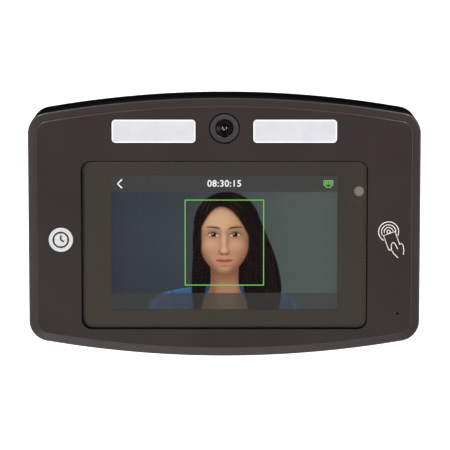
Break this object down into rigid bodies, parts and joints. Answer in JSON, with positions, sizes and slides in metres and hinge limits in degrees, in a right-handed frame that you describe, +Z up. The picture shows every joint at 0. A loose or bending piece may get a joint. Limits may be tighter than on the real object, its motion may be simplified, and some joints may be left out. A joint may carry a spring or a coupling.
{
  "type": "face recognition and card terminal",
  "caption": "Wall-mounted time and access terminal with a landscape touch display, camera, fill lights and card reader; it lifts off a hooked steel wall plate.",
  "frame": {"origin": "middle of the wall plate's back face, on the wall", "axes": "+X to the viewer's right, +Y into the wall, +Z up; the display faces -Y"},
  "size_m": [0.1874, 0.0376, 0.1248],
  "materials": {
    "bezel_plastic": "fine grain moulded, dark warm grey",
    "rear_plastic": "fine grain moulded, black",
    "foam": "soft foam",
    "screw_steel": "zinc plated",
    "lock_steel": "stainless",
    "insert_brass": "knurled brass",
    "badge_plastic": "satin pale grey with a printed dark symbol",
    "cover_glass": "clear, polished",
    "border_ink": "screen printed dark olive grey",
    "screen": "lit display",
    "white_plastic": "moulded white",
    "bracket_steel": "pressed, zinc plated",
    "ribbon": "polyimide flat cable",
    "ring_plastic": "satin dark grey",
    "barrel_black": "black anodised",
    "lens_glass": "coated lens",
    "black_plastic": "black moulded",
    "circuit_board": "green solder mask",
    "silicon": "dark polished",
    "frosted_cover": "frosted white diffuser",
    "led_white": "phosphor filled",
    "sensor_window": "smoked translucent",
    "microphone_can": "pressed can",
    "rubber": "moulded",
    "paper_cone": "black pressed paper",
    "copper": "bare copper",
    "lead_grey": "insulated wire",
    "tinplate": "tin plated",
    "chip_epoxy": "moulded epoxy",
    "can_aluminium": "sleeved can",
    "connector_plastic": "natural nylon",
    "gold_contact": "gold flashed",
    "terminal_green": "moulded green",
    "battery_wrap": "blue shrink wrap",
    "plate_steel": "zinc plated sheet"
  },
  "bodies": {
    "plate": {"wall_plate": "plate_steel"},
    "terminal": {"antenna_lead": "lead_grey", "backup_battery": "battery_wrap", "badge": "badge_plastic", "battery_lead": "lead_grey", "battery_tape": "foam", "bezel_inserts": "insert_brass", "board_capacitors": "can_aluminium", "board_chips": "chip_epoxy", "board_connectors": "connector_plastic", "board_screws": "screw_steel", "board_standoffs": "insert_brass", "camera_barrel": "barrel_black", "camera_board": "circuit_board", "camera_holder": "black_plastic", "camera_lens": "lens_glass", "camera_ribbon": "ribbon", "camera_ring": "ring_plastic", "card_antenna_board": "circuit_board", "card_antenna_coil": "copper", "cover_glass": "cover_glass", "ethernet_contacts": "gold_contact", "ethernet_jack": "tinplate", "front_bezel": "bezel_plastic", "glass_ink": "border_ink", "glass_tape": "foam", "housing_screws": "screw_steel", "housing_seal": "foam", "image_sensor": "silicon", "lcd_backlight": "white_plastic", "lcd_bracket": "bracket_steel", "lcd_panel": "screen", "lcd_ribbon": "ribbon", "lcd_screws": "screw_steel", "left_light_cover": "frosted_cover", "light_boards": "circuit_board", "light_leds": "led_white", "light_reflectors": "white_plastic", "lock_insert": "insert_brass", "main_board": "circuit_board", "microphone": "microphone_can", "microphone_boot": "rubber", "power_jack": "black_plastic", "presence_sensor": "silicon", "processor_shield": "tinplate", "rear_housing": "rear_plastic", "reset_switch": "black_plastic", "right_light_cover": "frosted_cover", "sensor_board": "circuit_board", "sensor_window": "sensor_window", "speaker_cone": "paper_cone", "speaker_frame": "black_plastic", "speaker_gasket": "foam", "speaker_lead": "lead_grey", "terminal_block": "terminal_green", "terminal_screws": "screw_steel", "usb_jack": "tinplate"},
    "lock_screw": {"lock_screw": "lock_steel"},
    "reset_button": {"reset_button": "white_plastic"}
  },
  "joints": [
    {"name": "terminal_lift", "type": "slide", "parent": "plate", "child": "terminal", "axis": [0, 0, 1], "range_m": [0, 0.009]},
    {"name": "lock_screw_out", "type": "slide", "parent": "plate", "child": "lock_screw", "axis": [0, 0, -1], "range_m": [0, 0.009]},
    {"name": "reset_press", "type": "slide", "parent": "terminal", "child": "reset_button", "axis": [0, -1, 0], "range_m": [0, 0.0006], "stiffness_N_per_m": 800}
  ]
}
